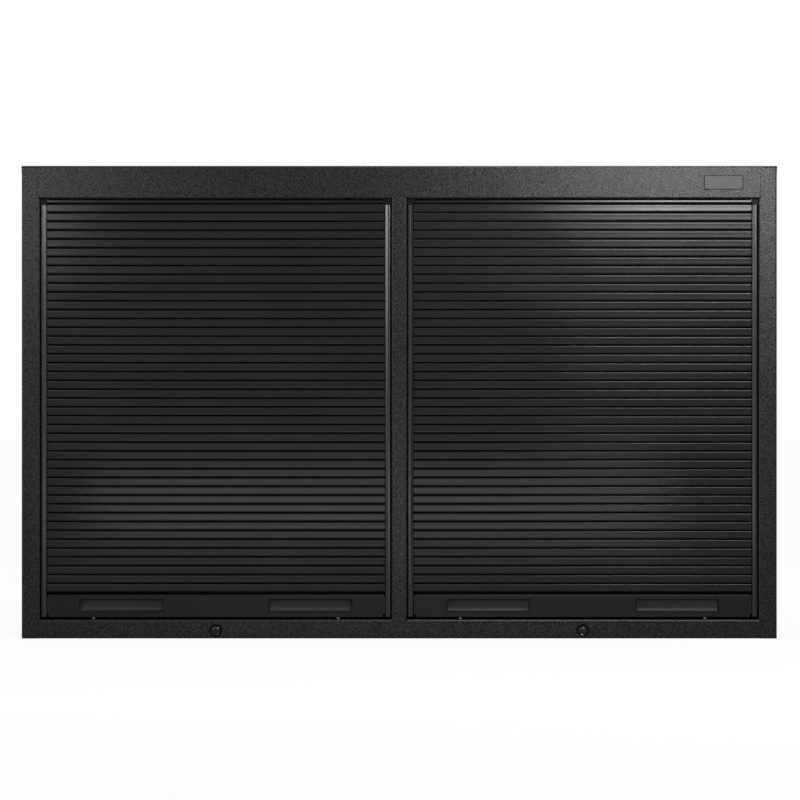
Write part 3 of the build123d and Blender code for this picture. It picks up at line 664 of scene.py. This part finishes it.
def track_material():
    """Dark satin aluminium of the door tracks, with lines along them."""
    material, shader, place = new_material("dark_aluminium", (0.08, 0.08, 0.082), 0.23, metallic=1.0)
    tree = material.node_tree
    lines = noise(tree, place, 900.0, 2.0, LINES_ALONG_Z)
    tint(tree, shader, lines, (0.065, 0.065, 0.067), (0.095, 0.095, 0.098))
    roughen(tree, shader, lines, 0.2, 0.26)
    emboss(tree, shader, lines, 1.0, 0.00008)
    return material


def plastic_material(name, colour, specular):
    """Black moulded plastic with a fine spark grain."""
    material, shader, place = new_material(name, colour, 0.36, specular=specular)
    tree = material.node_tree
    grain = noise(tree, place, 2200.0, 2.0)
    roughen(tree, shader, grain, 0.3, 0.42)
    emboss(tree, shader, grain, 0.12, 0.0001)
    return material


def rubber_material():
    """Pale grey moulded rubber."""
    material, shader, place = new_material("rubber", (0.26, 0.26, 0.255), 0.5)
    tree = material.node_tree
    grain = noise(tree, place, 900.0, 4.0)
    tint(tree, shader, grain, (0.23, 0.23, 0.225), (0.29, 0.29, 0.285))
    emboss(tree, shader, grain, 0.2, 0.0002)
    return material


def lock_material():
    """Black lacquered die casting."""
    material, shader, place = new_material("lock_black", (0.012, 0.012, 0.012), 0.13)
    tree = material.node_tree
    wear = noise(tree, place, 160.0, 4.0)
    roughen(tree, shader, wear, 0.1, 0.16)
    emboss(tree, shader, wear, 0.05, 0.0001)
    return material


def plate_material():
    """Dark satin plate with a faint brushed grain."""
    material, shader, place = new_material("satin_plate", (0.03, 0.03, 0.031), 0.3)
    tree = material.node_tree
    lines = noise(tree, place, 1500.0, 2.0, BRUSHED_ALONG_X)
    tint(tree, shader, lines, (0.026, 0.026, 0.027), (0.034, 0.034, 0.035))
    roughen(tree, shader, lines, 0.26, 0.34)
    return material


def plated_material(name, colour, roughness):
    """Plated steel with soft mottling."""
    material, shader, place = new_material(name, colour, roughness, metallic=1.0)
    tree = material.node_tree
    mottle = noise(tree, place, 60.0, 5.0)
    darker = tuple(0.8 * part for part in colour)
    tint(tree, shader, mottle, darker, colour)
    roughen(tree, shader, mottle, roughness - 0.08, roughness + 0.08)
    return material


FINISHES = {
    "coat": coat_material(),
    "slat_alloy": slat_material(),
    "painted_shade": painted_shade_material(),
    "bar": bar_material(),
    "track_alloy": track_material(),
    "plastic": plastic_material("moulded_plastic", (0.008, 0.008, 0.0083), 0.5),
    # The cups' plastic is a lighter copy of the black plastic: painted light that makes up for the shade
    # inside the cups.
    "cup": plastic_material("cup_plastic_painted_light", (0.02, 0.02, 0.0205), 0.5),
    "guide": plastic_material("guide_plastic", (0.004, 0.004, 0.0041), 0.15),
    "bumper": rubber_material(),
    "lock_black": lock_material(),
    "plate": plate_material(),
    "zinc": plated_material("zinc_plate", (0.55, 0.56, 0.58), 0.38),
    "spring": plated_material("spring_steel", (0.25, 0.25, 0.26), 0.35),
}

# Nodes with a finish other than their slot's, by the end of their names
OWN_FINISH = {"bottom_bar": "bar", "track_guides": "guide"}

# Bevels of the solids by slot, in millimetres
EDGE_SOFTNESS = {"coat": 0.25, "track_alloy": 0.3, "plastic": 0.4, "slat_alloy": 0.7}


def dress_solids():
    """Give every solid its finish, and soften the edges of what shows."""
    slots = {row["node"]: row["material_slot"] for row in frame["record"]["subparts"]}
    for name, solid in frame["nodes"].items():
        slot = slots[name]
        solid.data.materials.clear()
        own = [finish for ending, finish in OWN_FINISH.items() if name.endswith(ending)]
        solid.data.materials.append(FINISHES[own[0] if own else slot])
        for face in solid.data.polygons:
            face.use_smooth = True
        weld = solid.modifiers.new("weld", "WELD")
        weld.merge_threshold = WELD_REACH
        if slot in EDGE_SOFTNESS:
            bevel = solid.modifiers.new("edges", "BEVEL")
            bevel.width = EDGE_SOFTNESS[slot] * MM
            bevel.segments = BEVEL_STEPS
            bevel.limit_method = "ANGLE"
            bevel.angle_limit = SHARP_ANGLE
        normals = solid.modifiers.new("normals", "WEIGHTED_NORMAL")
        normals.keep_sharp = True


def add_floor():
    """Pale floor, white to the camera and dim towards it, that keeps a soft shadow."""
    shape = bmesh.new()
    bmesh.ops.create_grid(shape, x_segments=1, y_segments=1, size=FLOOR_SIZE)
    mesh = bpy.data.meshes.new("floor")
    shape.to_mesh(mesh)
    shape.free()
    floor = bpy.data.objects.new("floor", mesh)
    scene.collection.objects.link(floor)
    material, shader, place = new_material("floor", FLOOR_COLOUR, FLOOR_ROUGHNESS, specular=0.0)
    tree = material.node_tree
    link = tree.links.new
    glow = add_node(tree, "ShaderNodeEmission")
    path = add_node(tree, "ShaderNodeLightPath")
    near = eased(tree, along(tree, place, "Y"), FLOOR_DIM, 1.0, FLOOR_FADE)
    white = highest(tree, path.outputs["Is Camera Ray"], path.outputs["Is Transmission Ray"])
    link(highest(tree, white, near), glow.inputs["Strength"])
    seen = highest(tree, white, path.outputs["Is Glossy Ray"])
    mix = add_node(tree, "ShaderNodeMixShader")
    link(eased(tree, seen, 0.0, FLOOR_GLOW, (0.0, 1.0)), mix.inputs["Fac"])
    link(shader.outputs["BSDF"], mix.inputs[1])
    link(glow.outputs["Emission"], mix.inputs[2])
    link(mix.outputs["Shader"], tree.nodes["Material Output"].inputs["Surface"])
    mesh.materials.append(material)


def light_world():
    """White all round, and dimmer only from the side of the camera."""
    world = bpy.data.worlds.new("studio")
    scene.world = world
    world.use_nodes = True
    tree = world.node_tree
    background = tree.nodes["Background"]
    background.inputs["Color"].default_value = (1.0, 1.0, 1.0, 1.0)
    path = add_node(tree, "ShaderNodeLightPath")
    toward = along(tree, add_node(tree, "ShaderNodeTexCoord").outputs["Generated"], "Y")
    studio = eased(tree, toward, WORLD_FRONT, WORLD_SIDE, WORLD_FADE)
    white = highest(tree, path.outputs["Is Camera Ray"], path.outputs["Is Transmission Ray"])
    tree.links.new(highest(tree, white, studio), background.inputs["Strength"])


def add_softbox(name, place, size, power, tilt):
    """A lamp in front of the object that faces it squarely, or looks down by a tilt in degrees."""
    lamp = bpy.data.lights.new(name, "AREA")
    lamp.shape = "RECTANGLE"
    lamp.size, lamp.size_y = size
    lamp.energy = power
    softbox = bpy.data.objects.new(name, lamp)
    softbox.location = place
    softbox.visible_camera = False
    softbox.rotation_euler = (math.radians(90.0 - tilt), 0.0, 0.0)
    scene.collection.objects.link(softbox)


def add_camera():
    """Long lens from the front."""
    lens = bpy.data.cameras.new("camera")
    lens.sensor_width = SENSOR
    lens.lens = SENSOR * CAMERA_DISTANCE / (PICTURE * PHOTO_SCALE)
    lens.clip_end = FARTHEST_SEEN
    camera = bpy.data.objects.new("camera", lens)
    camera.location = (PHOTO_MIDDLE_X * MM, (FRONT - CAMERA_DISTANCE) * MM, PHOTO_MIDDLE_Z * MM)
    camera.rotation_euler = (math.radians(90.0), 0.0, 0.0)
    scene.collection.objects.link(camera)
    scene.camera = camera


dress_solids()
for half, side in HALVES:
    add_curtain(half, side)
    add_tracks(half, side)
    add_header_shade_strip(half, side)
    add_pulls(half, side)
    add_bumpers(half, side)
    add_lock_plug(half, side)
add_lock_heads()
add_plate()
add_floor()
light_world()
for lamp in LAMPS:
    add_softbox(*lamp)
add_camera()
scene.view_settings.view_transform = "Standard"
